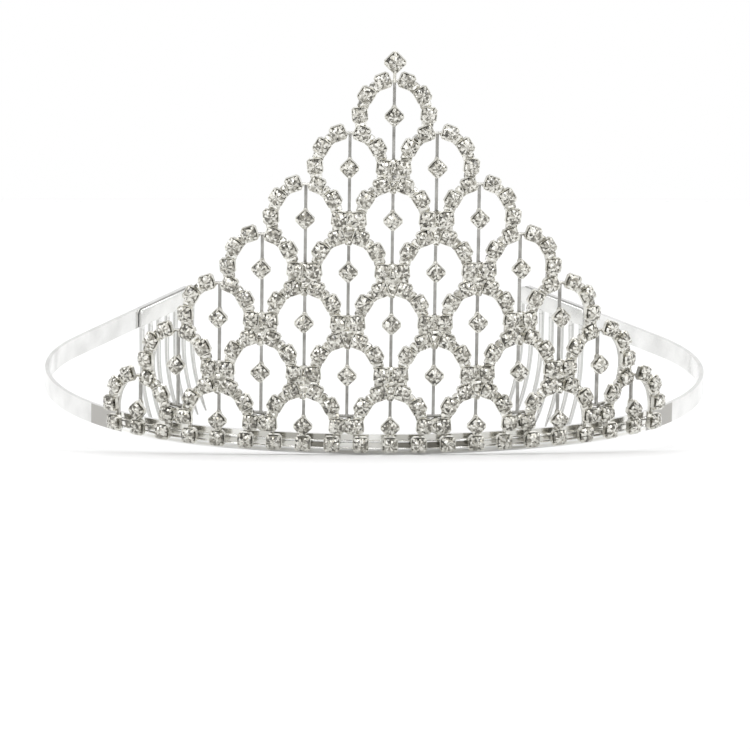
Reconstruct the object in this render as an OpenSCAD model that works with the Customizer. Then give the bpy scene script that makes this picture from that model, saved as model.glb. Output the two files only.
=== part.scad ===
/* [Headband] */
// Height of the flat strip that goes round the head
band_h = 4.3; // [3.9:0.1:5]
// Thickness of the strip
band_t = 0.9; // [0.7:0.1:1.1]
// Radius of the strip's middle line across the brow
brow_r = 110; // [104:2:116]
// Half of the angle that the brow arc covers
brow_angle = 19; // [17:1:21]
// Radius of the middle line at the temples
temple_r = 53; // [51:1:56]
// Turn of the straight ends away from the brow's direction
end_angle = 119; // [115:1:122]
// Length of the middle line from the brow to one tip
band_reach = 184; // [178:1:190]
// Diameter of the two rail wires along the brow face
rail_d = 0.6; // [0.5:0.1:0.8]

/* [Lattice] */
// Distance between neighbouring arches, along the band
arch_pitch = 17.9; // [17.7:0.1:18.6]
// Height from one row of arches to the next
row_h = 11.2; // [11.2:0.1:11.6]
// Thickness of the arch strip, across the arch
strip_t = 0.5; // [0.4:0.05:0.6]
// Depth of the arch strip, front to back
strip_depth = 1.3; // [1:0.1:1.4]
// Width of the post that hangs under an arch
post_w = 0.65; // [0.5:0.05:0.8]

/* [Stones] */
// Width of a small cut stone across its flats
stone_w = 3; // [2.8:0.05:3]
// Width of the stone at the peak
peak_w = 3.4; // [3.1:0.1:3.8]
// Width of the table as a part of the stone's width
table_part = 0.56; // [0.45:0.01:0.65]
// Wall that the square cup adds on each side of its stone
cup_wall = 0.2; // [0.18:0.01:0.22]

/* [Combs] */
// Length of the comb's bar
comb_len = 26; // [24:1:28]
// Height of the comb's bar
comb_bar_h = 3.8; // [3.2:0.1:4.2]
// Thickness of the comb
comb_t = 0.7; // [0.6:0.1:0.9]
// Depth of the teeth under the band's lower edge
comb_drop = 25; // [22:1:28]
// Number of teeth
teeth = 7; // [5:1:8]
// Width of a tooth
tooth_w = 1.5; // [1.2:0.1:1.8]
// How far a tooth's tip curls in towards the head
tooth_curl = 3.8; // [3:0.1:4.5]

/* [Hidden] */
$fn = 64;
rows = 7;
gap = 0.1;
overlap = 0.2;
seam = 0.02;
key_len = 2;

// The band's middle line, by length from the brow
brow_len = brow_r * brow_angle * PI / 180;
bend_len = brow_len + temple_r * (end_angle - brow_angle) * PI / 180;
temple_centre = [(brow_r - temple_r) * sin(brow_angle), brow_r - (brow_r - temple_r) * cos(brow_angle)];

// Heights above the band's lower edge, and distances out from its middle line
base_z = 2.85;
rail_z = [1.2, 2.85];
rail_rise = rail_d * 0.8;
strip_out = band_t / 2 + rail_rise + gap;
strip_front = strip_out + strip_depth;
post_depth = 0.7;
post_out = 0.1;
stand_off = 0.35;
bite = 0.04;
cup_out = strip_front + stand_off;
cup_floor = 0.25;
cup_claw = 1.75;
claw_lean = 0.35;
crown_part = 0.18;
pavilion_part = 0.33;
girdle_up = cup_floor + gap + pavilion_part * stone_w;

// Half of an arch from its top to its foot: distance from the axis, height from the level of its top stones
arch_half = [[0, -0.25], [2.6, -0.95], [5.4, -4.1], [6.35, -8.4], [5.65, -12.85]];
arch_line = concat([for (i = [len(arch_half) - 1:-1:1]) [-arch_half[i][0], arch_half[i][1]]], arch_half);

// Places of the stones on an arch's right half: distance from the axis, height, turn of the side away from it
top_place = [2.4, 0, -21];
shoulder_place = [5.65, -2.95, -60];
side_place = [7, -7.2, -95];
foot_place = [arch_pitch / 2 - top_place[0], -row_h, 21];
hanging_drop = 7.5;
peak_rise = 4;
post_top = -0.4;
post_low = row_h + 5.3;
leg_top = arch_half[len(arch_half) - 2];
leg_foot = arch_half[len(arch_half) - 1];
leg_x = lookup(-row_h, [[leg_foot[1], leg_foot[0]], [leg_top[1], leg_top[0]]]);
bridge = [arch_pitch - 2 * leg_top[0], 0.7];
stem_side = 0.9;

// Comb sizes
comb_place = band_reach - comb_len / 2;
comb_z = (band_h - comb_bar_h) / 2;
tooth_straight = 8;
tip_d = comb_t * 1.3;
curl_h = comb_drop + comb_z - tooth_straight - tip_d / 2;
curl_r = (curl_h * curl_h + tooth_curl * tooth_curl) / (2 * tooth_curl);
curl_angle = asin(curl_h / curl_r);
tooth_pitch = (comb_len - tooth_w) / (teeth - 1);

// Standing by itself the crown leans on the brow's lower edge and on the first tooth of each comb
tip_in = (band_t / 2 + gap + comb_t / 2 + tooth_curl) * outward(band_reach);
first_tooth = middle(comb_place - comb_len / 2 + tooth_w / 2) - tip_in;
last_tooth = middle(comb_place + comb_len / 2 - tooth_w / 2) - tip_in;
tip_side = tooth_w / 2 * sin(end_angle);
tip_y = first_tooth[1] - tip_side + band_t / 2;
tip_z = -comb_drop + tip_d / 2;
rest_tilt = asin(tip_d / 2 / norm([tip_y, tip_z])) - atan2(tip_z, tip_y);
peak_z = base_z + rows * row_h + peak_rise;
peak_claw = [cup_out + cup_claw * peak_w / stone_w, peak_z + (peak_w / 2 + cup_wall - claw_lean) * sqrt(2)];
front_y = -peak_claw[0] * cos(rest_tilt) - peak_claw[1] * sin(rest_tilt);
back_y = (last_tooth[1] + tip_side) * cos(rest_tilt) - tip_z * sin(rest_tilt) + tip_d / 4;

// Direction of the band at a length s from the brow, and the middle line's point and outward direction there
function heading(s) = sign(s) * (abs(s) < brow_len ? abs(s) / brow_r * 180 / PI
    : min(brow_angle + (abs(s) - brow_len) / temple_r * 180 / PI, end_angle));
function arc_point(s) = let (turn = heading(s))
    abs(turn) < brow_angle ? brow_r * [sin(turn), 1 - cos(turn)]
    : [sign(s) * temple_centre[0], temple_centre[1]] + temple_r * [sin(turn), -cos(turn)];
function middle(s) = arc_point(s)
    + max(abs(s) - bend_len, 0) * [sign(s) * cos(end_angle), sin(end_angle)];
function outward(s) = [sin(heading(s)), -cos(heading(s))];
function on_face(s, z, out) = let (p = middle(s) + out * outward(s)) [p[0], p[1], z];

// Height of a row's top stones, and the length along the band to an arch's axis
function row_z(row) = base_z + (rows + 1 - row) * row_h;
function arch_s(row, place) = (place - (row + 1) / 2) * arch_pitch;

// Turns the crown from its band's plane into the lean that it rests in
module at_rest() {
    translate([0, -(front_y + back_y) / 2, band_t / 2 * sin(rest_tilt)]) rotate([rest_tilt, 0, 0]) children();
}

// Sets children on the face: x along the band, y up, z out from its middle line
module facing(s, z, out) {
    p = on_face(s, z, out);
    translate(p) rotate([90, 0, heading(s)]) children();
}

// An arc of the band's own curve, swept from a section
module brow_arc() {
    translate([0, brow_r, 0]) rotate(-90 - brow_angle) rotate_extrude(angle = 2 * brow_angle)
        translate([brow_r, 0]) children();
}

module temple_arc(start, end) {
    translate(temple_centre) rotate(start - 90) rotate_extrude(angle = end - start)
        translate([temple_r, 0]) children();
}

module band_section() {
    translate([-band_t / 2, 0]) square([band_t, band_h]);
}

// The strip's section with the rails on its face, each three quarters of an octagon
module railed_section() {
    face = band_t / 2;
    rails = [for (z = rail_z) each [
        [face, z - rail_d / 2], [face + rail_d / 2, z - rail_d / 2], [face + rail_rise, z - rail_d / 5],
        [face + rail_rise, z + rail_d / 5], [face + rail_d / 2, z + rail_d / 2], [face, z + rail_d / 2]
    ]];
    polygon(concat([[-face, 0], [face, 0]], rails, [[face, band_h], [-face, band_h]]));
}

// A block inside the strip that makes two of its lengths one
module key(s) {
    facing(s, band_h / 2, 0) cube([key_len, band_h - 2 * gap, band_t - 2 * gap], center = true);
}

module band_end() {
    straight = band_reach - bend_len - band_h / 2;
    p = middle(bend_len);
    translate(p) rotate(end_angle) {
        translate([0, -band_t / 2, 0]) cube([straight, band_t, band_h]);
        translate([straight, 0, band_h / 2]) rotate([90, 0, 0])
            cylinder(d = band_h, h = band_t - 2 * seam, center = true);
    }
}

// The strip with rounded tips, and the rails soldered along its face as far as the lattice goes
module headband() color("silver") at_rest() {
    rail_end = brow_angle + (rows * arch_pitch / 2 + stone_w / 2 - brow_len) / temple_r * 180 / PI;
    brow_arc() railed_section();
    for (side = [0, 1]) mirror([side, 0, 0]) {
        temple_arc(brow_angle, rail_end) railed_section();
        temple_arc(rail_end, end_angle) band_section();
        band_end();
        for (s = [brow_len, rows * arch_pitch / 2 + stone_w / 2, bend_len]) key(s);
    }
}

// One horseshoe of flat strip, swept along its line, each ring four corners
module arch(s, z) {
    n = len(arch_line);
    function side(i) = let (d = arch_line[min(i + 1, n - 1)] - arch_line[max(i - 1, 0)])
        [-d[1], d[0]] / norm(d);
    function corner(i, across, out) = let (q = arch_line[i] + across * strip_t * side(i))
        on_face(s + q[0], z + q[1], out);
    ring = [[-0.5, strip_out], [0.5, strip_out], [0.5, strip_front], [-0.5, strip_front]];
    points = [for (i = [0:n - 1]) for (q = ring) corner(i, q[0], q[1])];
    walls = [for (i = [0:n - 2]) for (k = [0:3]) let (next = (k + 1) % 4)
        [4 * i + k, 4 * i + 4 + k, 4 * i + 4 + next, 4 * i + next]];
    ends = [[0, 1, 2, 3], [4 * n - 1, 4 * n - 2, 4 * n - 3, 4 * n - 4]];
    polyhedron(points, concat(walls, ends));
}

// A post between two heights
module post(s, top, low) {
    hull() for (z = [top, low]) facing(s, z, strip_front + post_out - post_depth / 2)
        cube([post_w, post_w, post_depth], center = true);
}

// A square cup whose corners rise to leaning claws. Its back tapers to a point, shift off its middle, that is
// soldered to the wire at the height out
module cup(w, shift, out) {
    a = w / 2 + cup_wall;
    t = a - claw_lean;
    h = cup_claw * w / stone_w;
    turns = [[1, 1], [-1, 1], [-1, -1], [1, -1]];
    corners = [for (q = turns) [a * q[0], a * q[1], 0]];
    tips = [for (q = turns) [t * q[0], t * q[1], h]];
    dips = [[0, a, cup_floor], [-a, 0, cup_floor], [0, -a, cup_floor], [a, 0, cup_floor]];
    points = concat(corners, tips, dips, [[shift[0], shift[1], out - bite - cup_out]]);
    faces = concat([[11, 10, 9, 8]], [for (k = [0:3])
        let (next = (k + 1) % 4, dip = 8 + k, before = 8 + (k + 3) % 4)
        each [[k, 4 + k, dip], [k, dip, next], [dip, 4 + next, next], [before, dip, 4 + k], [k, next, 12]]]);
    polyhedron(points, faces);
}

// A cut stone with a table, eight crown facets and eight facets below, its girdle at z = 0
module cut_stone(w) {
    table = table_part * w / 2;
    top = crown_part * w;
    intersection_for (turn = [0:3]) rotate(45 * turn) rotate([90, 0, 0]) linear_extrude(2 * w, center = true)
        polygon([[-w / 2, 0], [0, -pavilion_part * w], [w / 2, 0], [table, top], [-table, top]]);
}

// Children at a place on an arch, on one side of its axis
module at_place(row, place, spot, side, out) {
    facing(arch_s(row, place) + side * spot[0], row_z(row) + spot[1], out) rotate(side * spot[2]) children();
}

// Children at every small stone of a row: its shoulders, sides and feet, and the outer top of its end arches
module each_in_row(row, out) {
    for (place = [1:row]) for (side = [-1, 1]) {
        at_place(row, place, shoulder_place, side, out) children();
        at_place(row, place, side_place, side, out) children();
        if (row < rows) at_place(row, place, foot_place, side, out) children();
    }
    at_place(row, 1, top_place, -1, out) children();
    at_place(row, row, top_place, 1, out) children();
}

// Children at the base stones: three to an arch, $third telling them apart
module each_in_base(out) {
    for (place = [1:rows]) for ($third = [-1:1])
        facing(arch_s(rows, place) + $third * arch_pitch / 3, base_z, out) children();
}

module hanging(row, place, out) {
    facing(arch_s(row, place), row_z(row) - hanging_drop, out) rotate(45) children();
}

module at_peak(out) {
    facing(0, peak_z, out) rotate(45) children();
}

// The soldered frame of arches, posts and cups. A post runs down each column of arches, and where the lowest
// row leaves a gap it ends on a bridge between two arches
module lattice() color("gainsboro") at_rest() {
    for (row = [1:rows]) {
        for (place = [1:row]) {
            arch(arch_s(row, place), row_z(row));
            hanging(row, place, cup_out) cup(stone_w, [0, 0], strip_front + post_out);
        }
        each_in_row(row, cup_out) cup(stone_w, [0, -stem_side], strip_front);
    }
    for (column = [1 - rows:rows - 1]) {
        s = column * arch_pitch / 2;
        top_row = abs(column) + 1;
        to_base = (rows - top_row) % 2 == 0;
        low = to_base ? base_z + leg_foot[1] + row_h : row_z(rows - 1) - post_low;
        post(s, row_z(top_row) + (column == 0 ? peak_rise : post_top), low);
        if (!to_base) facing(s, low, strip_front - post_depth / 2)
            cube([bridge[0], bridge[1], post_depth], center = true);
    }
    each_in_base(cup_out)
        cup(stone_w, [$third * (leg_x - arch_pitch / 3), 0], strip_front + ($third == 0 ? post_out : 0));
    at_peak(cup_out) cup(peak_w, [0, 0], strip_front + post_out);
}

module row_stones(row) color("lightsteelblue") at_rest()
    each_in_row(row, cup_out + girdle_up) cut_stone(stone_w);

module base_stones() color("lightsteelblue") at_rest() each_in_base(cup_out + girdle_up) cut_stone(stone_w);

module hanging_stone(row, place) color("lavender") at_rest()
    hanging(row, place, cup_out + girdle_up) cut_stone(stone_w);

module peak_stone() color("lavender") at_rest()
    at_peak(cup_out + cup_floor + gap + pavilion_part * peak_w) cut_stone(peak_w);

// A tooth goes straight down, then curls in along an arc to a round tip: x along the bar, y in to the head
module tooth() {
    translate([0, 0, -tooth_straight]) cube([tooth_w, comb_t, tooth_straight + overlap]);
    translate([0, comb_t / 2 + curl_r, -tooth_straight]) rotate([-90, 0, -90])
        rotate_extrude(angle = curl_angle) translate([curl_r - comb_t / 2, 0]) square([comb_t, tooth_w]);
    translate([0, comb_t / 2 + tooth_curl, -tooth_straight - curl_h]) rotate([0, 90, 0])
        cylinder(d = tip_d, h = tooth_w);
}

module comb() {
    p = middle(comb_place);
    translate(p) rotate(end_angle) translate([-comb_len / 2, band_t / 2 + gap, comb_z]) {
        cube([comb_len, comb_t, comb_bar_h]);
        for (i = [0:teeth - 1]) translate([i * tooth_pitch, 0, 0]) tooth();
    }
}

module comb_right() color("darkgray") at_rest() comb();

module comb_left() color("darkgray") at_rest() mirror([1, 0, 0]) comb();

headband();
lattice();
comb_left();
comb_right();
peak_stone();
base_stones();
for (row = [1:rows]) row_stones(row);
for (row = [1:rows]) for (place = [1:row])
    hanging_stone(row, place);
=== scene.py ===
import math

import bpy
from mathutils import Matrix, Vector


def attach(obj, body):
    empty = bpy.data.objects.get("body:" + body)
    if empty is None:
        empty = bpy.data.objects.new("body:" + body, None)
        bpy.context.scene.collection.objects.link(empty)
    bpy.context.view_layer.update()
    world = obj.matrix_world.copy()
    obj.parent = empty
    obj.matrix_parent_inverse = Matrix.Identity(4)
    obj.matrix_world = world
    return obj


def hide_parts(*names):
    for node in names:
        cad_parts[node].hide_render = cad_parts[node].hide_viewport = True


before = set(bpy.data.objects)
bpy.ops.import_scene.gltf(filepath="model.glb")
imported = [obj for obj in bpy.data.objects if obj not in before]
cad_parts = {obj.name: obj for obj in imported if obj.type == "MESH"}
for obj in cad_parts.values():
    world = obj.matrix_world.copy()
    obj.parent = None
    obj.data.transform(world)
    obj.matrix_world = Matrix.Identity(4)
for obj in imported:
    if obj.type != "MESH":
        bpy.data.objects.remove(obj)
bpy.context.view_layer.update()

# Sizes in millimetres and angles in degrees, as in the part's source
BAND_H, BAND_T = 4.3, 0.9
BROW_R, BROW_ANGLE = 110, 19
TEMPLE_R, END_ANGLE = 53, 119
BAND_REACH = 184
RAIL_RISE, RAIL_D, RAIL_Z = 0.48, 0.6, (1.2, 2.85)
ROWS, PITCH, ROW_H = 7, 17.9, 11.2
STRIP_T, STRIP_DEPTH = 0.5, 1.3
POST_W, POST_DEPTH = 0.65, 0.7
STONE_W, PEAK_W, CUP_WALL = 3.0, 3.4, 0.2
UNDER_GIRDLE = 0.33  # a stone's depth below its girdle, as a share of its width
COMB_LEN, COMB_BAR_H, COMB_T, COMB_DROP = 26, 3.8, 0.7, 25
TEETH, TOOTH_W, TOOTH_CURL, TOOTH_STRAIGHT = 7, 1.5, 3.8, 8
GAP = 0.1
BASE_Z = 2.85
STRIP_OUT = BAND_T / 2 + RAIL_RISE + GAP
STRIP_FRONT = STRIP_OUT + STRIP_DEPTH
CUP_OUT = STRIP_FRONT + 0.35
CUP_FLOOR = 0.25
# Cups round half an arch: sideways and up from the middle of its top, and their turn
TOP, SHOULDER, SIDE = (2.4, 0, -21), (5.65, -2.95, -60), (7, -7.2, -95)
FOOT = (PITCH / 2 - TOP[0], -ROW_H, 21)
HANGING_DROP, PEAK_RISE, HANGING_TURN = 7.5, 4.0, 45
# Half of an arch's strip, from its top to its foot
ARCH_HALF = [(0, -0.25), (2.6, -0.95), (5.4, -4.1), (6.35, -8.4), (5.65, -12.85)]
# From the band's own frame to the resting one: leaned forward about x, then moved along y and z
REST_TILT, REST_SHIFT, REST_LIFT = 13.3557, -52.6763, 0.1039

# Sizes in millimetres of what is modelled only here
POST_START, BRIDGE_DROP, BRIDGE_W, WIRE_EASE = 0.4, 5.3, 0.7, 0.16
POST_OUT = STRIP_FRONT + 0.1 - POST_DEPTH / 2
LINK_W, LINK_LEN, LINK_H = 2.4, 1.5, 0.9
# Lumps over a post, from the top down: rise over the arch below, turn in degrees, share of a link's width
SEAM_LUMPS = ((4.9, 12, 0.6), (3.45, -25, 0.65), (2.0, 4, 1.2), (0.55, 172, 0.95), (-0.9, -14, 0.6))
# Lumps in the gaps between the lowest arches: rise from the level of their tops, turn in degrees
LOW_LUMPS = ((-6.45, 20), (-7.9, -30))
# A cup's claw: for each step how far it leans in and goes up, and how much of its width is left
CLAW_STEPS = ((0.05, 0.45, 0.9), (0.2, 0.2, 0.55))
# The drop beside a hanging cup: its radius, and for each step the reach and how much of the width is left
DROP_R, DROP_STEPS = 0.72, ((1.1, 0.9), (0.5, 0.65), (0.6, 0.6))

# Where each row's and each hanging stone's numbers start. A number picks a stone's facets.
ROW_NUMBERS, HANGING_NUMBERS, HANGING_STEP = 50, 400, 8

BROW_LEN = math.radians(BROW_ANGLE) * BROW_R
BEND_LEN = BROW_LEN + math.radians(END_ANGLE - BROW_ANGLE) * TEMPLE_R
TURN_X = (BROW_R - TEMPLE_R) * math.sin(math.radians(BROW_ANGLE))
TURN_Y = BROW_R - (BROW_R - TEMPLE_R) * math.cos(math.radians(BROW_ANGLE))

AT_REST = (Matrix.Scale(0.001, 4) @ Matrix.Translation((0, REST_SHIFT, REST_LIFT))
           @ Matrix.Rotation(math.radians(REST_TILT), 4, "X"))


# The band's line, with s the length along it from the middle of the brow

def heading(s):
    """How far the band has turned at s, in radians."""
    if abs(s) < BROW_LEN:
        turn = abs(s) / BROW_R
    else:
        turn = min(math.radians(BROW_ANGLE) + (abs(s) - BROW_LEN) / TEMPLE_R, math.radians(END_ANGLE))
    return math.copysign(turn, s)


def on_face(s, z, out):
    """The point at s, at the height z and out from the band's middle line, in the band's own frame."""
    turn, side = heading(s), math.copysign(1, s)
    if abs(s) < BROW_LEN:
        x, y = BROW_R * math.sin(turn), BROW_R * (1 - math.cos(turn))
    else:
        x, y = side * TURN_X + TEMPLE_R * math.sin(turn), TURN_Y - TEMPLE_R * math.cos(turn)
    past = max(abs(s) - BEND_LEN, 0)
    x += side * past * math.cos(math.radians(END_ANGLE))
    y += past * math.sin(math.radians(END_ANGLE))
    return Vector((x + out * math.sin(turn), y - out * math.cos(turn), z))


def facing(s, z, out, turn=0):
    """A place on the resting crown with x along the band, y up and z out, turned in its own plane."""
    return (AT_REST @ Matrix.Translation(on_face(s, z, out)) @ Matrix.Rotation(heading(s), 4, "Z")
            @ Matrix.Rotation(math.pi / 2, 4, "X") @ Matrix.Rotation(math.radians(turn), 4, "Z"))


def row_z(row):
    """The height of the tops of a row's arches. Row 1 is the highest."""
    return BASE_Z + (ROWS + 1 - row) * ROW_H


def arch_s(row, place):
    """Where the middle of an arch is along the band."""
    return (place - (row + 1) / 2) * PITCH


def row_places(row, out):
    """Where the stones of a row sit: both shoulders, sides and feet, and the outer top of the end arches."""
    found = []

    def add(place, spot, side):
        found.append(facing(arch_s(row, place) + side * spot[0], row_z(row) + spot[1], out, side * spot[2]))

    for place in range(1, row + 1):
        for side in (-1, 1):
            add(place, SHOULDER, side)
            add(place, SIDE, side)
            if row < ROWS:
                add(place, FOOT, side)
    add(1, TOP, -1)
    add(row, TOP, 1)
    return found


def link_places(row, out):
    """Half way between neighbouring cups: from the tops down to the shoulders, the sides and the feet."""
    found = []
    stops = [TOP, SHOULDER, SIDE] + ([FOOT] if row < ROWS else [])
    for place in range(1, row + 1):
        for side in (-1, 1):
            for (x, z, _), (low_x, low_z, _) in zip(stops, stops[1:]):
                turn = math.degrees(math.atan2(low_z - z, low_x - x)) + 90
                s = arch_s(row, place) + side * (x + low_x) / 2
                found.append(facing(s, row_z(row) + (z + low_z) / 2, out, side * turn))
    return found


def seam_places(out):
    """Over a post where two arches stand on a third, and in the gaps between the lowest arches."""
    found = []
    for row in range(3, ROWS + 1):
        for place in range(2, row):
            for rise, turn, wide in SEAM_LUMPS:
                spot = facing(arch_s(row, place), row_z(row) + rise, out, turn)
                found.append(spot @ Matrix.Diagonal((wide, 1, 1, 1)))
    for place in range(1, ROWS):
        for rise, turn in LOW_LUMPS:
            found.append(facing(arch_s(ROWS, place) + PITCH / 2, row_z(ROWS) + rise, out, turn))
    return found


def base_places(out):
    return [facing(arch_s(ROWS, place) + third * PITCH / 3, BASE_Z, out)
            for place in range(1, ROWS + 1) for third in (-1, 0, 1)]


def hanging_place(row, place, out):
    return facing(arch_s(row, place), row_z(row) - HANGING_DROP, out, HANGING_TURN)


def peak_place(out):
    return facing(0, row_z(1) + PEAK_RISE, out, HANGING_TURN)


def girdle_out(width):
    """How far out the girdle of a stone of this width lies, over the floor of its cup."""
    return CUP_OUT + CUP_FLOOR + GAP + UNDER_GIRDLE * width


# The bench: selecting, shaping and setting out

def clear_bench():
    if bpy.context.object and bpy.context.object.mode != "OBJECT":
        bpy.ops.object.mode_set(mode="OBJECT")
    bpy.ops.object.select_all(action="DESELECT")


def pick_faces(piece, wanted):
    bpy.ops.object.mode_set(mode="EDIT")
    bpy.ops.mesh.select_mode(type="FACE")
    bpy.ops.mesh.select_all(action="DESELECT")
    bpy.ops.object.mode_set(mode="OBJECT")
    for face in piece.data.polygons:
        face.select = wanted(face)
    bpy.ops.object.mode_set(mode="EDIT")


def pick_edges(piece, wanted):
    bpy.ops.object.mode_set(mode="EDIT")
    bpy.ops.mesh.select_mode(type="EDGE")
    bpy.ops.mesh.select_all(action="DESELECT")
    bpy.ops.object.mode_set(mode="OBJECT")
    points = piece.data.vertices
    for edge in piece.data.edges:
        edge.select = wanted(points[edge.vertices[0]].co, points[edge.vertices[1]].co)
    bpy.ops.object.mode_set(mode="EDIT")


def pull(x=0, y=0, z=0):
    bpy.ops.mesh.extrude_region_move(TRANSFORM_OT_translate={"value": (x, y, z)})


def narrow(kx, ky, kz, middle):
    bpy.ops.transform.resize(value=(kx, ky, kz), center_override=middle)


def done(piece, name):
    bpy.ops.object.mode_set(mode="OBJECT")
    bpy.ops.object.select_all(action="DESELECT")
    piece.name = name
    piece.data.name = name
    return piece


def join(parts, name):
    clear_bench()
    for part in parts:
        part.select_set(True)
    bpy.context.view_layer.objects.active = parts[0]
    if len(parts) > 1:
        bpy.ops.object.join()
    return done(parts[0], name)


def copy_at(pattern, place):
    copy = pattern.copy()
    copy.data = pattern.data.copy()
    copy.data.transform(place)
    bpy.context.scene.collection.objects.link(copy)
    return copy


def set_out(pattern, places, name, first=0):
    """Copies at the places, joined. Each copy's cut map is moved on by its number, so no two stones match."""
    copies = []
    for number, place in enumerate(places, first):
        copy = copy_at(pattern, place)
        for corner in copy.data.uv_layers["cut"].data:
            corner.uv.x += number
        copies.append(copy)
    return join(copies, name)


def smooth(piece, angle):
    clear_bench()
    piece.select_set(True)
    bpy.context.view_layer.objects.active = piece
    bpy.ops.object.shade_smooth_by_angle(angle=math.radians(angle))
    piece.select_set(False)


# Patterns, in millimetres, each modelled once

def cup_pattern(width):
    """A square cup with a hollow for the stone and a bent claw at each corner."""
    clear_bench()
    half, rim, corner_cut, lip, hollow, foot = width / 2 + CUP_WALL, 0.85, 0.55, 0.16, 0.55, 0.4
    floor_share, foot_share = 0.8, 0.35
    claw_w, claw_h, claw_z, claw_ease, grown = 0.5, 0.4, 0.7, 0.14, width / STONE_W
    bpy.ops.mesh.primitive_cube_add(size=1, location=(0, 0, rim / 2), scale=(2 * half, 2 * half, rim))
    cup = bpy.context.object
    pick_edges(cup, lambda a, b: abs(a.z - b.z) > 0.5)
    bpy.ops.mesh.bevel(offset=corner_cut, segments=1, affect="EDGES")
    pick_faces(cup, lambda face: face.normal.z > 0.9)
    bpy.ops.mesh.inset(thickness=lip)
    pull(z=-hollow)
    narrow(floor_share, floor_share, 1, (0, 0, 0))
    pick_faces(cup, lambda face: face.normal.z < -0.9)
    pull(z=-foot)
    narrow(foot_share, foot_share, 1, (0, 0, 0))
    bpy.ops.object.mode_set(mode="OBJECT")
    cup.select_set(False)
    claws = []
    for turn in range(4):
        clear_bench()
        corner = half - claw_w
        bpy.ops.mesh.primitive_cube_add(size=1, location=(corner, corner, claw_z),
                                        scale=(claw_w, claw_w, claw_h))
        claw = bpy.context.object
        pick_edges(claw, lambda a, b: abs(a.z - b.z) > 0.3 and min(a.x, b.x, a.y, b.y) > 0)
        bpy.ops.mesh.bevel(offset=claw_ease, segments=1, affect="EDGES")
        pick_faces(claw, lambda face: face.normal.z > 0.9)
        bent = 0
        for inward, up, slim in CLAW_STEPS:
            bent += inward
            pull(-inward, -inward, up * grown)
            narrow(slim, slim, 1, (corner - bent, corner - bent, 0))
        bpy.ops.object.mode_set(mode="OBJECT")
        claw.data.transform(claw.matrix_basis)
        claw.matrix_basis = Matrix.Identity(4)
        claw.data.transform(Matrix.Rotation(turn * math.pi / 2, 4, "Z"))
        claws.append(claw)
    cup.data.transform(cup.matrix_basis)
    cup.matrix_basis = Matrix.Identity(4)
    return join([cup] + claws, "cup_pattern")


def link_pattern():
    """A lump of solder between two cups, its ridge off the middle: x across the arch, y along it."""
    clear_bench()
    lean_x, lean_y, ridge, lift = 0.16, 0.12, 0.3, 0.15
    corner_cut, lip, ridge_share = 0.32, 0.1, 0.4
    bpy.ops.mesh.primitive_cube_add(size=1, location=(0, 0, lift), scale=(LINK_W, LINK_LEN, LINK_H))
    link = bpy.context.object
    bpy.ops.object.transform_apply(location=True, scale=True)
    pick_edges(link, lambda a, b: abs(a.z - b.z) > 0.5)
    bpy.ops.mesh.bevel(offset=corner_cut, segments=1, affect="EDGES")
    pick_faces(link, lambda face: face.normal.z > 0.9)
    bpy.ops.mesh.inset(thickness=lip)
    pull(lean_x, lean_y, ridge)
    narrow(ridge_share, ridge_share, 1, (lean_x, lean_y, 0))
    return done(link, "link_pattern")


def stone_pattern(width):
    """A round-cut stone: a table, eight main and eight narrow facets over a thin girdle, eight below it."""
    clear_bench()
    radius, girdle = width / 2 / math.cos(math.pi / 8), 0.05 * width
    crown, depth, facet = 0.18 * width, UNDER_GIRDLE * width, 0.09 * width
    table, point = 0.58, 0.04
    bpy.ops.mesh.primitive_cylinder_add(vertices=8, radius=radius, depth=girdle, rotation=(0, 0, math.pi / 8))
    stone = bpy.context.object
    stone.data.transform(stone.matrix_basis)
    stone.matrix_basis = Matrix.Identity(4)
    pick_faces(stone, lambda face: face.normal.z > 0.9)
    pull(z=crown - girdle / 2)
    narrow(table, table, 1, (0, 0, 0))
    pick_faces(stone, lambda face: face.normal.z < -0.9)
    pull(z=girdle / 2 - depth)
    narrow(point, point, 1, (0, 0, 0))
    pick_edges(stone, lambda a, b: abs(a.z - b.z) > 0.1 * width and max(a.z, b.z) > 0.1 * width)
    bpy.ops.mesh.bevel(offset=facet, segments=1, affect="EDGES")
    done(stone, "stone_pattern")
    while stone.data.uv_layers:
        stone.data.uv_layers.remove(stone.data.uv_layers[0])
    cut = stone.data.uv_layers.new(name="cut")
    span = 1.2 * width
    for loop, corner in zip(stone.data.loops, cut.data):
        at = stone.data.vertices[loop.vertex_index].co
        corner.uv = (at.x / span + 0.5, at.y / span + 0.5)
    return stone


def arch_line(steps=5):
    """The arch's path from foot to foot, rounded between the points of its outline."""
    line = [(-x, y) for x, y in reversed(ARCH_HALF[1:])] + ARCH_HALF
    line = [line[0]] + line + [line[-1]]
    rounded = []
    for i in range(1, len(line) - 2):
        for step in range(steps):
            t = step / steps
            weights = (-t + 2 * t * t - t ** 3, 2 - 5 * t * t + 3 * t ** 3,
                       t + 4 * t * t - 3 * t ** 3, t ** 3 - t * t)
            near = line[i - 1:i + 3]
            rounded.append([sum(w * p[axis] for w, p in zip(weights, near)) / 2 for axis in (0, 1)])
    return rounded + [list(line[-1])]


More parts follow.
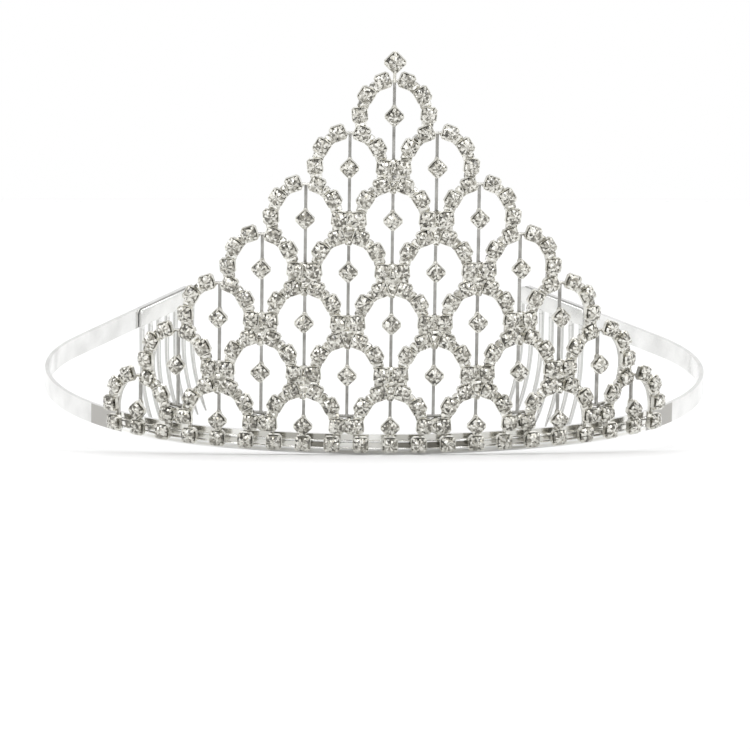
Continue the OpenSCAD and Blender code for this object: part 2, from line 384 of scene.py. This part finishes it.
def arch_pattern():
    """A horseshoe of flat strip with eased edges: x along the band, y up, z out."""
    clear_bench()
    line = [Vector((x, y, 0)) for x, y in arch_line()]
    start = line[0] + Vector((0, 0, (STRIP_OUT + STRIP_FRONT) / 2))
    bpy.ops.mesh.primitive_plane_add(size=1, location=start, rotation=(math.pi / 2, 0, 0))
    strip = bpy.context.object
    strip.scale = (STRIP_T, STRIP_DEPTH, 1)
    bpy.ops.object.transform_apply(location=True, rotation=True, scale=True)
    bpy.ops.object.mode_set(mode="EDIT")
    bpy.ops.mesh.select_all(action="SELECT")
    bpy.ops.mesh.bevel(offset=0.1, segments=1, affect="VERTICES")
    bpy.ops.mesh.select_mode(type="FACE")
    bpy.ops.mesh.select_all(action="SELECT")
    lean = math.pi / 2
    for i in range(1, len(line)):
        step = line[i] - line[i - 1]
        after = line[min(i + 1, len(line) - 1)] - line[i - 1]
        pull(step.x, step.y, 0)
        aim = math.atan2(after.y, after.x)
        bpy.ops.transform.rotate(value=lean - aim, orient_axis="Z", center_override=(line[i].x, line[i].y, 0))
        lean = aim
    return done(strip, "arch_pattern")


def bend_to_face(pattern, s, z):
    """A copy of a flat pattern, bent to the band's curve: s along the band from its middle, z up."""
    copy = copy_at(pattern, Matrix.Identity(4))
    for point in copy.data.vertices:
        point.co = AT_REST @ on_face(s + point.co.x, z + point.co.y, point.co.z)
    return copy


def post_piece(s, top, low):
    clear_bench()
    bpy.ops.mesh.primitive_cube_add(size=1, scale=(POST_W, top - low, POST_DEPTH))
    post = bpy.context.object
    bpy.ops.object.transform_apply(scale=True)
    pick_edges(post, lambda a, b: abs(a.y - b.y) > 1)
    bpy.ops.mesh.bevel(offset=WIRE_EASE, segments=2, affect="EDGES")
    done(post, "post")
    post.data.transform(facing(s, (top + low) / 2, POST_OUT))
    return post


def solder_piece(place):
    """The drop of solder that runs out along the post above and below a hanging cup."""
    clear_bench()
    bpy.ops.mesh.primitive_cylinder_add(vertices=8, radius=DROP_R, depth=1, rotation=(math.pi / 2, 0, 0))
    drop = bpy.context.object
    bpy.ops.object.transform_apply(rotation=True)
    for way in (1, -1):
        pick_faces(drop, lambda face: face.normal.y * way > 0.9)
        for reach, slim in DROP_STEPS:
            pull(y=reach * way)
            narrow(slim, 1, slim, (0, 0, 0))
    done(drop, "solder")
    drop.data.transform(place @ Matrix.Rotation(math.radians(-HANGING_TURN), 4, "Z"))
    return drop


def bridge_piece(s, z):
    clear_bench()
    bpy.ops.mesh.primitive_cube_add(size=1, scale=(PITCH - 2 * ARCH_HALF[3][0], BRIDGE_W, POST_DEPTH))
    bridge = bpy.context.object
    bpy.ops.object.transform_apply(scale=True)
    pick_edges(bridge, lambda a, b: abs(a.x - b.x) > 1)
    bpy.ops.mesh.bevel(offset=WIRE_EASE, segments=2, affect="EDGES")
    done(bridge, "bridge")
    bridge.data.transform(facing(s, z, STRIP_FRONT - POST_DEPTH / 2))
    return bridge


def tooth_pattern():
    """A comb tooth of grooved strip: straight, then curling in and tapering to a slim tip."""
    clear_bench()
    bpy.ops.mesh.primitive_cube_add(size=1, location=(0, 0, -0.5), scale=(TOOTH_W, COMB_T, 1))
    tooth = bpy.context.object
    bpy.ops.object.transform_apply(location=True, rotation=True, scale=True)
    steps, reach = 12, COMB_DROP + (BAND_H - COMB_BAR_H) / 2 - 1
    taper, tip, ease, ridge, channel = 0.965, 0.6, 0.12, 0.16, 0.14
    at = Vector((0, 0, -1))
    for i in range(1, steps + 1):
        pick_faces(tooth, lambda face: face.normal.z < -0.7 and face.center.z < at.z + 0.4)
        depth = 1 + reach * i / steps
        curl = max(0, (depth - TOOTH_STRAIGHT) / (reach + 1 - TOOTH_STRAIGHT)) ** 2 * TOOTH_CURL
        to = Vector((0, curl, -depth))
        pull(*(to - at))
        slim = taper if i < steps else tip
        narrow(slim, slim, 1, to)
        at = to
    pick_edges(tooth, lambda a, b: abs(a.z - b.z) > 0.3 and abs(a.x - b.x) < 0.4)
    bpy.ops.mesh.bevel(offset=ease, segments=2, affect="EDGES")
    pick_faces(tooth, lambda face: (abs(face.normal.y) > 0.75 and abs(face.center.x) < 0.2
                                    and 2 - COMB_DROP < face.center.z < -1))
    bpy.ops.mesh.inset(thickness=ridge, depth=-channel, use_boundary=True)
    return done(tooth, "tooth_pattern")


def comb_piece(side, name):
    clear_bench()
    round_end, ease, sunk = 1.1, 0.1, 0.2
    bpy.ops.mesh.primitive_cube_add(size=1, location=(0, COMB_T / 2, COMB_BAR_H / 2),
                                    scale=(COMB_LEN, COMB_T, COMB_BAR_H))
    bar = bpy.context.object
    bpy.ops.object.transform_apply(location=True, rotation=True, scale=True)
    pick_edges(bar, lambda a, b: abs(a.y - b.y) > 0.3 and min(a.z, b.z) > 1)
    bpy.ops.mesh.bevel(offset=round_end, segments=5, affect="EDGES")
    pick_edges(bar, lambda a, b: abs(a.y - b.y) < 0.01)
    bpy.ops.mesh.bevel(offset=ease, segments=2, affect="EDGES")
    done(bar, "bar")
    tooth = tooth_pattern()
    first, pitch = (TOOTH_W - COMB_LEN) / 2, (COMB_LEN - TOOTH_W) / (TEETH - 1)
    teeth = [copy_at(tooth, Matrix.Translation((first + i * pitch, COMB_T / 2, sunk))) for i in range(TEETH)]
    bpy.data.objects.remove(tooth)
    comb = join([bar] + teeth, name)
    middle = on_face(BAND_REACH - COMB_LEN / 2, (BAND_H - COMB_BAR_H) / 2, 0)
    place = (Matrix.Translation(middle) @ Matrix.Rotation(math.radians(END_ANGLE), 4, "Z")
             @ Matrix.Translation((0, BAND_T / 2 + GAP, 0)))
    if side < 0:
        place = Matrix.Scale(-1, 4, (1, 0, 0)) @ place
    comb.data.transform(AT_REST @ place)
    if side < 0:
        comb.data.flip_normals()
    return comb


# Finishes. Tones are red, green and blue; a table of tones gives each a place from 0 to 1.

# Painted highlight for the brow's rails and lower edge, then painted shade for the patch at the lattice's end
RAIL_HIGHLIGHT_TONE, PATCH_SHADE_TONE = (0.97, 0.97, 0.96), (0.44, 0.43, 0.41)
# Painted shade for the comb teeth's tips and sideways faces
TOOTH_TIP_SHADE, TOOTH_SIDE_SHADE = (0.55, 0.55, 0.535), (0.6, 0.6, 0.585)
# Painted reflections: a tone from dark to bright for each gap between the brow's stones
GAP_REFLECTION_TONES = (
    (0.0, (0.06, 0.056, 0.047)), (0.22, (0.3, 0.29, 0.255)),
    (0.4, (0.78, 0.77, 0.73)), (1.0, (0.96, 0.955, 0.93)))
SOLDER_TONES = (
    (0.0, (0.2, 0.192, 0.165)), (0.2, (0.45, 0.437, 0.39)),
    (0.5, (0.74, 0.728, 0.68)), (1.0, (0.92, 0.912, 0.87)))
# Painted reflections on the stones' facets, from dark to bright; the facets are also turned so they catch real
# reflections
CRYSTAL_REFLECTION_TONES = (
    (0.0, (0.07, 0.065, 0.053)), (0.25, (0.25, 0.238, 0.2)),
    (0.55, (0.55, 0.535, 0.48)), (0.9, (0.86, 0.848, 0.795)))

# Finer marks and bits have a higher scale, which counts them per metre
MARK_SCALE, MARK_STRENGTH, MARK_DEPTH, BIT_SCALE = 2600.0, 0.12, 0.00004, 1400.0
TILT_SHARE = 0.8  # how far small facets are turned away from the face they are on
RINGS, WEDGES = 6, 16  # rings of facets over a stone's cut map, and facets round each

# On the brow, in millimetres from its middle: where the patch of painted shade at the lattice's end starts and
# stops
PATCH_START, PATCH_END = 3.36 * PITCH, 3.8 * PITCH
# The brow's bright lower edge is a painted highlight
BROW_DEPTH, LOW_HIGHLIGHT_H = 30.0, 0.3  # how far back the brow's tones go, and the height of its bright lower edge
BROW_CURVE = 2.3e-5  # added to x for each cubic millimetre of it, which gives the length along the brow
SIDE_FADE = 0.012  # how much lighter the gaps' tones start for each millimetre from the middle
OUTWARD, SIDEWAYS = 0.3, 0.66  # how squarely a brow face has to look forward, or a tooth's face back or forward


def new_finish(name):
    finish = bpy.data.materials.new(name)
    finish.use_nodes = True
    tree = finish.node_tree
    return finish, tree, tree.nodes["Principled BSDF"]


def add_node(tree, kind, **values):
    node = tree.nodes.new(kind)
    for key, value in values.items():
        if key in node.inputs:
            node.inputs[key].default_value = value
        else:
            setattr(node, key, value)
    return node


def spread(tree, source, low, high, start=0.0, end=1.0):
    """Maps a value between start and end to one between low and high."""
    node = add_node(tree, "ShaderNodeMapRange")
    for key, value in (("From Min", start), ("From Max", end), ("To Min", low), ("To Max", high)):
        node.inputs[key].default_value = value
    tree.links.new(source, node.inputs["Value"])
    return node.outputs["Result"]


def ramp(tree, source, stops):
    node = add_node(tree, "ShaderNodeValToRGB")
    band = node.color_ramp
    while len(band.elements) < len(stops):
        band.elements.new(0.5)
    for element, (at, colour) in zip(band.elements, stops):
        element.position = at
        element.color = (*colour, 1)
    tree.links.new(source, node.inputs["Fac"])
    return node.outputs["Color"]


def silver_finish(name, light, dark_cloud, low, high, clouds=160.0):
    """Bright plating with cloudy patches from the light tone to the darker one, partly random tone and partly
    painted reflection, and fine marks.
    """
    finish, tree, shader = new_finish(name)
    place = add_node(tree, "ShaderNodeTexCoord").outputs["Object"]
    cloud = add_node(tree, "ShaderNodeTexNoise", Scale=clouds, Detail=4.0)
    marks = add_node(tree, "ShaderNodeTexNoise", Scale=MARK_SCALE, Detail=2.0)
    for node in (cloud, marks):
        tree.links.new(place, node.inputs["Vector"])
    shader.inputs["Metallic"].default_value = 1
    # Cloudy patches: partly random tone, partly painted reflection
    tone = ramp(tree, cloud.outputs["Fac"], ((0.3, dark_cloud), (0.65, light)))
    tree.links.new(tone, shader.inputs["Base Color"])
    tree.links.new(spread(tree, cloud.outputs["Fac"], high, low), shader.inputs["Roughness"])
    bump = add_node(tree, "ShaderNodeBump", Strength=MARK_STRENGTH, Distance=MARK_DEPTH)
    tree.links.new(marks.outputs["Fac"], bump.inputs["Height"])
    tree.links.new(bump.outputs["Normal"], shader.inputs["Normal"])
    return finish


def work_out(tree, operation, first, second=None):
    node = add_node(tree, "ShaderNodeMath", operation=operation)
    for socket, value in zip(node.inputs, (first, second)):
        if isinstance(value, (int, float)):
            socket.default_value = value
        elif value is not None:
            tree.links.new(value, socket)
    return node.outputs["Value"]


def mixed(tree, share, first, second):
    """The first tone where the share is 0, the second where it is 1. Sockets 6, 7 and 2 are the tones'."""
    node = add_node(tree, "ShaderNodeMix", data_type="RGBA")
    for socket, value in ((node.inputs["Factor"], share), (node.inputs[6], first), (node.inputs[7], second)):
        if isinstance(value, tuple):
            socket.default_value = (*value, 1)
        else:
            tree.links.new(value, socket)
    return node.outputs[2]


def split_up(tree, source):
    node = add_node(tree, "ShaderNodeSeparateXYZ")
    tree.links.new(source, node.inputs["Vector"])
    return node.outputs


def chance_of(tree, *values):
    """A random colour and value for each set of three whole numbers."""
    cell = add_node(tree, "ShaderNodeCombineXYZ")
    for socket, value in zip(cell.inputs, values):
        tree.links.new(value, socket)
    chance = add_node(tree, "ShaderNodeTexWhiteNoise", noise_dimensions="3D")
    tree.links.new(cell.outputs["Vector"], chance.inputs["Vector"])
    return chance.outputs


def band_spot(tree, place):
    """Where a point lies in the band's own frame, in millimetres: the move to rest undone."""
    lean, mm = math.radians(REST_TILT), 1000
    shift = Matrix.Rotation(-lean, 3, "X") @ Vector((0, REST_SHIFT, REST_LIFT))
    flat = add_node(tree, "ShaderNodeMapping", Scale=(mm, mm, mm), Rotation=(-lean, 0, 0), Location=-shift)
    tree.links.new(place["Object"], flat.inputs["Vector"])
    return split_up(tree, flat.outputs["Vector"])


def silver_with_place(name, light, dark_cloud, low, high):
    """A silver to be toned by place: the finish, its tree, shader and plain tone, and the place's sockets."""
    finish = silver_finish(name, light, dark_cloud, low, high)
    tree = finish.node_tree
    shader = tree.nodes["Principled BSDF"]
    plain = shader.inputs["Base Color"].links[0].from_socket
    return finish, tree, shader, plain, add_node(tree, "ShaderNodeTexCoord").outputs


def comb_finish(name, light, dark_cloud, low, high):
    """Plated strip whose teeth carry painted shade at their sides and towards their tips."""
    finish, tree, shader, plain, place = silver_with_place(name, light, dark_cloud, low, high)
    z = band_spot(tree, place)["Z"]
    # Painted shade: darker towards the teeth's tips and on their sideways faces
    tip = spread(tree, z, 0.0, 0.4, 0.0, -COMB_DROP)
    turned = work_out(tree, "ABSOLUTE", split_up(tree, place["Normal"])["Y"])
    sides = work_out(tree, "GREATER_THAN", turned, SIDEWAYS)
    side = work_out(tree, "MULTIPLY", sides, work_out(tree, "LESS_THAN", z, 0.0))
    tone = mixed(tree, tip, plain, TOOTH_TIP_SHADE)
    tree.links.new(mixed(tree, side, tone, TOOTH_SIDE_SHADE), shader.inputs["Base Color"])
    return finish


def band_finish(name, light, dark_cloud, low, high):
    """Plated strip. On the brow each gap between stones has its own tone over, between and under the rails:
    painted reflections, with painted highlight on the rails and lower edge and painted shade over a patch at
    the lattice's end.
    """
    finish, tree, shader, plain, place = silver_with_place(name, light, dark_cloud, low, high)
    spot = band_spot(tree, place)
    x, z = spot["X"], spot["Z"]
    off_middle = work_out(tree, "ABSOLUTE", x)
    cube = work_out(tree, "MULTIPLY", work_out(tree, "POWER", off_middle, 3.0), BROW_CURVE)
    along = work_out(tree, "ADD", off_middle, cube)
    # Painted reflections: each gap between stones gets a random tone, lighter towards the brow's ends
    gap = work_out(tree, "FLOOR", work_out(tree, "MULTIPLY", along, 3 / PITCH))
    over_low, over_high = (work_out(tree, "GREATER_THAN", z, rail) for rail in RAIL_Z)
    level = work_out(tree, "ADD", over_low, over_high)
    chance = chance_of(tree, gap, level, work_out(tree, "SIGN", x))["Value"]
    fade = work_out(tree, "MULTIPLY", along, SIDE_FADE)
    tone = ramp(tree, work_out(tree, "MAXIMUM", chance, fade), GAP_REFLECTION_TONES)
    # Painted highlight on the rails and on the brow's lower edge
    painted_highlight = work_out(tree, "LESS_THAN", z, LOW_HIGHLIGHT_H)
    for rail in RAIL_Z:
        off_rail = work_out(tree, "ABSOLUTE", work_out(tree, "SUBTRACT", z, rail))
        painted_highlight = work_out(tree, "MAXIMUM", painted_highlight, work_out(tree, "LESS_THAN", off_rail, RAIL_D / 2))
    tone = mixed(tree, painted_highlight, tone, RAIL_HIGHLIGHT_TONE)
    # Painted shade over the patch at the lattice's end
    tone = mixed(tree, work_out(tree, "GREATER_THAN", along, PATCH_START), tone, PATCH_SHADE_TONE)
    outer = work_out(tree, "LESS_THAN", split_up(tree, place["Normal"])["Y"], -OUTWARD)
    for value, limit in ((along, PATCH_END), (spot["Y"], BROW_DEPTH)):
        outer = work_out(tree, "MULTIPLY", outer, work_out(tree, "LESS_THAN", value, limit))
    tree.links.new(mixed(tree, outer, plain, tone), shader.inputs["Base Color"])
    return finish


def break_up(tree, shader, colour, share, stops):
    """Small mirror facets: the colour turns each one its own way, and the share tones it."""
    shift = add_node(tree, "ShaderNodeVectorMath", operation="SUBTRACT")
    shift.inputs[1].default_value = (0.5, 0.5, 0.5)
    tree.links.new(colour, shift.inputs[0])
    scale = add_node(tree, "ShaderNodeVectorMath", operation="SCALE", Scale=TILT_SHARE)
    tree.links.new(shift.outputs["Vector"], scale.inputs[0])
    total = add_node(tree, "ShaderNodeVectorMath", operation="ADD")
    tree.links.new(add_node(tree, "ShaderNodeNewGeometry").outputs["Normal"], total.inputs[0])
    tree.links.new(scale.outputs["Vector"], total.inputs[1])
    unit = add_node(tree, "ShaderNodeVectorMath", operation="NORMALIZE")
    tree.links.new(total.outputs["Vector"], unit.inputs[0])
    tree.links.new(unit.outputs["Vector"], shader.inputs["Normal"])
    tree.links.new(ramp(tree, share, stops), shader.inputs["Base Color"])


def solder_finish(name):
    """Solder drawn up between claws and cups: bright, broken into bits smaller than a stone's facets."""
    finish, tree, shader = new_finish(name)
    place = add_node(tree, "ShaderNodeTexCoord").outputs["Object"]
    bits = add_node(tree, "ShaderNodeTexVoronoi", Scale=BIT_SCALE)
    tree.links.new(place, bits.inputs["Vector"])
    parts = add_node(tree, "ShaderNodeSeparateColor")
    tree.links.new(bits.outputs["Color"], parts.inputs["Color"])
    break_up(tree, shader, bits.outputs["Color"], parts.outputs["Green"], SOLDER_TONES)
    shader.inputs["Metallic"].default_value = 1
    shader.inputs["Roughness"].default_value = 0.15
    return finish


def crystal_finish(name):
    """A foil-backed cut stone: narrow mirror facets in rings, each turned its own way and given a painted
    reflection tone.
    """
    finish, tree, shader = new_finish(name)
    spot = split_up(tree, add_node(tree, "ShaderNodeUVMap", uv_map="cut").outputs["UV"])
    across = work_out(tree, "SUBTRACT", work_out(tree, "FRACT", spot["X"]), 0.5)
    up = work_out(tree, "SUBTRACT", spot["Y"], 0.5)
    squares = [work_out(tree, "MULTIPLY", side, side) for side in (across, up)]
    reach = work_out(tree, "SQRT", work_out(tree, "ADD", *squares))
    ring = work_out(tree, "FLOOR", work_out(tree, "MULTIPLY", reach, RINGS))
    turn = work_out(tree, "MULTIPLY", work_out(tree, "ARCTAN2", up, across), WEDGES / math.tau)
    wedge = work_out(tree, "FLOOR", work_out(tree, "ADD", turn, work_out(tree, "MULTIPLY", ring, 0.5)))
    chance = chance_of(tree, wedge, ring, work_out(tree, "FLOOR", spot["X"]))
    # Painted reflection tones on the facets, over their turned normals
    break_up(tree, shader, chance["Color"], chance["Value"], CRYSTAL_REFLECTION_TONES)
    shader.inputs["Metallic"].default_value = 0.9
    shader.inputs["Roughness"].default_value = 0.05
    shader.inputs["Coat Weight"].default_value = 1
    shader.inputs["Coat Roughness"].default_value = 0.02
    shader.inputs["Coat IOR"].default_value = 1.56
    return finish


# For each silver: light tone and the darker tone of its clouds, lowest and highest roughness, and the clouds'
# scale. The posts' and arches' silvers are darker copies of the same plating, painted shade for their darker
# reflections.
brow_silver = band_finish("brow_silver", (0.86, 0.86, 0.85), (0.7, 0.7, 0.69), 0.1, 0.24)
comb_silver = comb_finish("comb_silver", (0.84, 0.84, 0.82), (0.68, 0.68, 0.665), 0.1, 0.24)
shaded_post_silver = silver_finish("shaded_post_silver", (0.4, 0.395, 0.375), (0.23, 0.225, 0.21), 0.14, 0.28, 500.0)
shaded_arch_silver = silver_finish("shaded_arch_silver", (0.74, 0.73, 0.69), (0.46, 0.45, 0.42), 0.12, 0.28, 400.0)
cup_silver = silver_finish("cup_silver", (0.82, 0.808, 0.757), (0.5, 0.488, 0.437), 0.14, 0.34, 700.0)
solder = solder_finish("bright_solder")
crystal = crystal_finish("foiled_crystal")


def finish_piece(piece, finish, node):
    """Gives a dressed piece its finish, and has it stand in for the part's node."""
    piece.data.materials.clear()
    piece.data.materials.append(finish)
    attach(piece, "root")
    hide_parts(node)


# Making the pieces

arch = arch_pattern()
arches = join([bend_to_face(arch, arch_s(row, place), row_z(row))
               for row in range(1, ROWS + 1) for place in range(1, row + 1)], "arches")
smooth(arches, 50)
finish_piece(arches, shaded_arch_silver, "lattice")

wires = []
for column in range(1 - ROWS, ROWS):
    s, top_row = column * PITCH / 2, abs(column) + 1
    to_base = (ROWS - top_row) % 2 == 0
    low = row_z(ROWS) + (ARCH_HALF[-1][1] if to_base else -BRIDGE_DROP)
    wires.append(post_piece(s, row_z(top_row) - POST_START, low))
    if not to_base:
        wires.append(bridge_piece(s, low))
posts = join(wires, "posts")
smooth(posts, 40)
finish_piece(posts, shaded_post_silver, "lattice")

cup = cup_pattern(STONE_W)
peak_cup = cup_pattern(PEAK_W)
cup_spots = base_places(CUP_OUT)
for row in range(1, ROWS + 1):
    cup_spots += row_places(row, CUP_OUT)
    cup_spots += [hanging_place(row, place, CUP_OUT) for place in range(1, row + 1)]
cups = [copy_at(cup, spot) for spot in cup_spots] + [copy_at(peak_cup, peak_place(CUP_OUT))]
for row in range(1, ROWS + 1):
    cups += [solder_piece(hanging_place(row, place, POST_OUT)) for place in range(1, row + 1)]
cups = join(cups + [post_piece(0, row_z(1) + PEAK_RISE, row_z(1) - POST_START)], "stone_cups")
smooth(cups, 35)
finish_piece(cups, cup_silver, "lattice")

link = link_pattern()
lump_spots = seam_places(CUP_OUT)
for row in range(1, ROWS + 1):
    lump_spots += link_places(row, CUP_OUT)
lumps = join([copy_at(link, spot) for spot in lump_spots], "solder_lumps")
finish_piece(lumps, solder, "lattice")

stone = stone_pattern(STONE_W)
peak_cut = stone_pattern(PEAK_W)
stone_out = girdle_out(STONE_W)
finish_piece(set_out(stone, base_places(stone_out), "base_cut_stones"), crystal, "base_stones")
for row in range(1, ROWS + 1):
    cut = set_out(stone, row_places(row, stone_out), "row_%d_cut_stones" % row, ROW_NUMBERS * row)
    finish_piece(cut, crystal, "row_%d_stones" % row)
    for place in range(1, row + 1):
        end = "_%d_%d" % (row, place)
        number = HANGING_NUMBERS + HANGING_STEP * row + place
        cut = set_out(stone, [hanging_place(row, place, stone_out)], "hanging_cut_stone" + end, number)
        finish_piece(cut, crystal, "hanging_stone" + end)
cut = set_out(peak_cut, [peak_place(girdle_out(PEAK_W))], "peak_cut_stone")
finish_piece(cut, crystal, "peak_stone")

for side, name in ((-1, "comb_left"), (1, "comb_right")):
    comb = comb_piece(side, name + "_fluted")
    smooth(comb, 40)
    finish_piece(comb, comb_silver, name)

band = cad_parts["headband"]
band.data.materials.clear()
band.data.materials.append(brow_silver)

for pattern in (arch, cup, peak_cup, link, stone, peak_cut):
    bpy.data.objects.remove(pattern)


# Floor, light and camera, in metres

FLOOR_R, FLOOR_GREY = 30, 0.92
# The room round the crown: the tones of the walls' patches, and where from level (0) to straight up (1) the
# walls, the ceiling and the zenith each fade in
WALL_TONES = (
    (0.0, (0.2, 0.2, 0.2)), (0.45, (0.4, 0.4, 0.4)),
    (0.55, (1.0, 1.0, 1.0)), (1.0, (1.6, 1.6, 1.6)))
WALL_SCALE, WALL_BAND, CEILING_BAND, ZENITH_BAND = 3.2, (0.1, 0.16), (0.74, 0.8), (0.92, 0.95)
BACK_BAND = (0.2, 0.5)  # from the side (0) to straight behind (1), where the wall is even
LOW_TONE, BACK_TONE, CEILING_TONE, ZENITH_TONE = ((grey, grey, grey) for grey in (1.0, 0.85, 2.2, 0.3))
LAMP_AIM = (0, 0, 0.04)
LAMPS = (("key", (-0.7, -0.9, 1.0), (0.2, 0.2), 1.0),
         ("fill", (0.9, -0.7, 0.6), (0.15, 0.3), 0.6),
         ("back", (0.1, 0.9, 0.8), (0.3, 0.12), 0.6))
CAMERA_AIM, DISTANCE, YAW, LIFT = Vector((-0.003, -0.054, 0.0168)), 1.5, -3.2, 1.5
PX_PER_MM, PICTURE_PX = 4.74, 750

clear_bench()
bpy.ops.mesh.primitive_circle_add(vertices=96, radius=FLOOR_R, fill_type="NGON", location=(0, 0, 0))
floor = bpy.context.object
floor.name = "floor"
floor_finish, _, floor_shader = new_finish("pale_floor")
floor_shader.inputs["Base Color"].default_value = (FLOOR_GREY, FLOOR_GREY, FLOOR_GREY, 1)
floor_shader.inputs["Roughness"].default_value = 0.7
floor_shader.inputs["Specular IOR Level"].default_value = 0.2
floor.data.materials.append(floor_finish)

world = bpy.data.worlds.new("studio")
bpy.context.scene.world = world
world.use_nodes = True
tree = world.node_tree
backdrop = tree.nodes["Background"]
direction = add_node(tree, "ShaderNodeTexCoord").outputs["Generated"]
way = split_up(tree, direction)
panels = add_node(tree, "ShaderNodeTexVoronoi", Scale=WALL_SCALE)
tree.links.new(direction, panels.inputs["Vector"])
parts = add_node(tree, "ShaderNodeSeparateColor")
tree.links.new(panels.outputs["Color"], parts.inputs["Color"])
walls = ramp(tree, parts.outputs["Red"], WALL_TONES)
room = mixed(tree, spread(tree, way["Y"], 0, 1, *BACK_BAND), walls, BACK_TONE)
room = mixed(tree, spread(tree, way["Z"], 0, 1, *WALL_BAND), LOW_TONE, room)
room = mixed(tree, spread(tree, way["Z"], 0, 1, *CEILING_BAND), room, CEILING_TONE)
room = mixed(tree, spread(tree, way["Z"], 0, 1, *ZENITH_BAND), room, ZENITH_TONE)
tree.links.new(room, backdrop.inputs["Color"])
bpy.context.scene.view_settings.view_transform = "Standard"


def aimed(name, data, place, aim):
    """A lamp or a camera at the place, turned to look at the aim."""
    piece = bpy.data.objects.new(name, data)
    piece.location = place
    piece.rotation_euler = (Vector(aim) - Vector(place)).to_track_quat("-Z", "Y").to_euler()
    bpy.context.scene.collection.objects.link(piece)
    return piece


for name, place, size, power in LAMPS:
    lamp = bpy.data.lights.new(name, "AREA")
    lamp.shape, lamp.size, lamp.size_y, lamp.energy = "RECTANGLE", *size, power
    aimed(name, lamp, place, LAMP_AIM)

yaw, lift = math.radians(YAW), math.radians(LIFT)
back = Vector((math.sin(yaw) * math.cos(lift), -math.cos(yaw) * math.cos(lift), math.sin(lift)))
camera = aimed("camera", bpy.data.cameras.new("camera"), CAMERA_AIM + DISTANCE * back, CAMERA_AIM)
camera.data.lens = PX_PER_MM * 1000 * DISTANCE / PICTURE_PX * camera.data.sensor_width
camera.data.clip_end = 100
bpy.context.scene.camera = camera
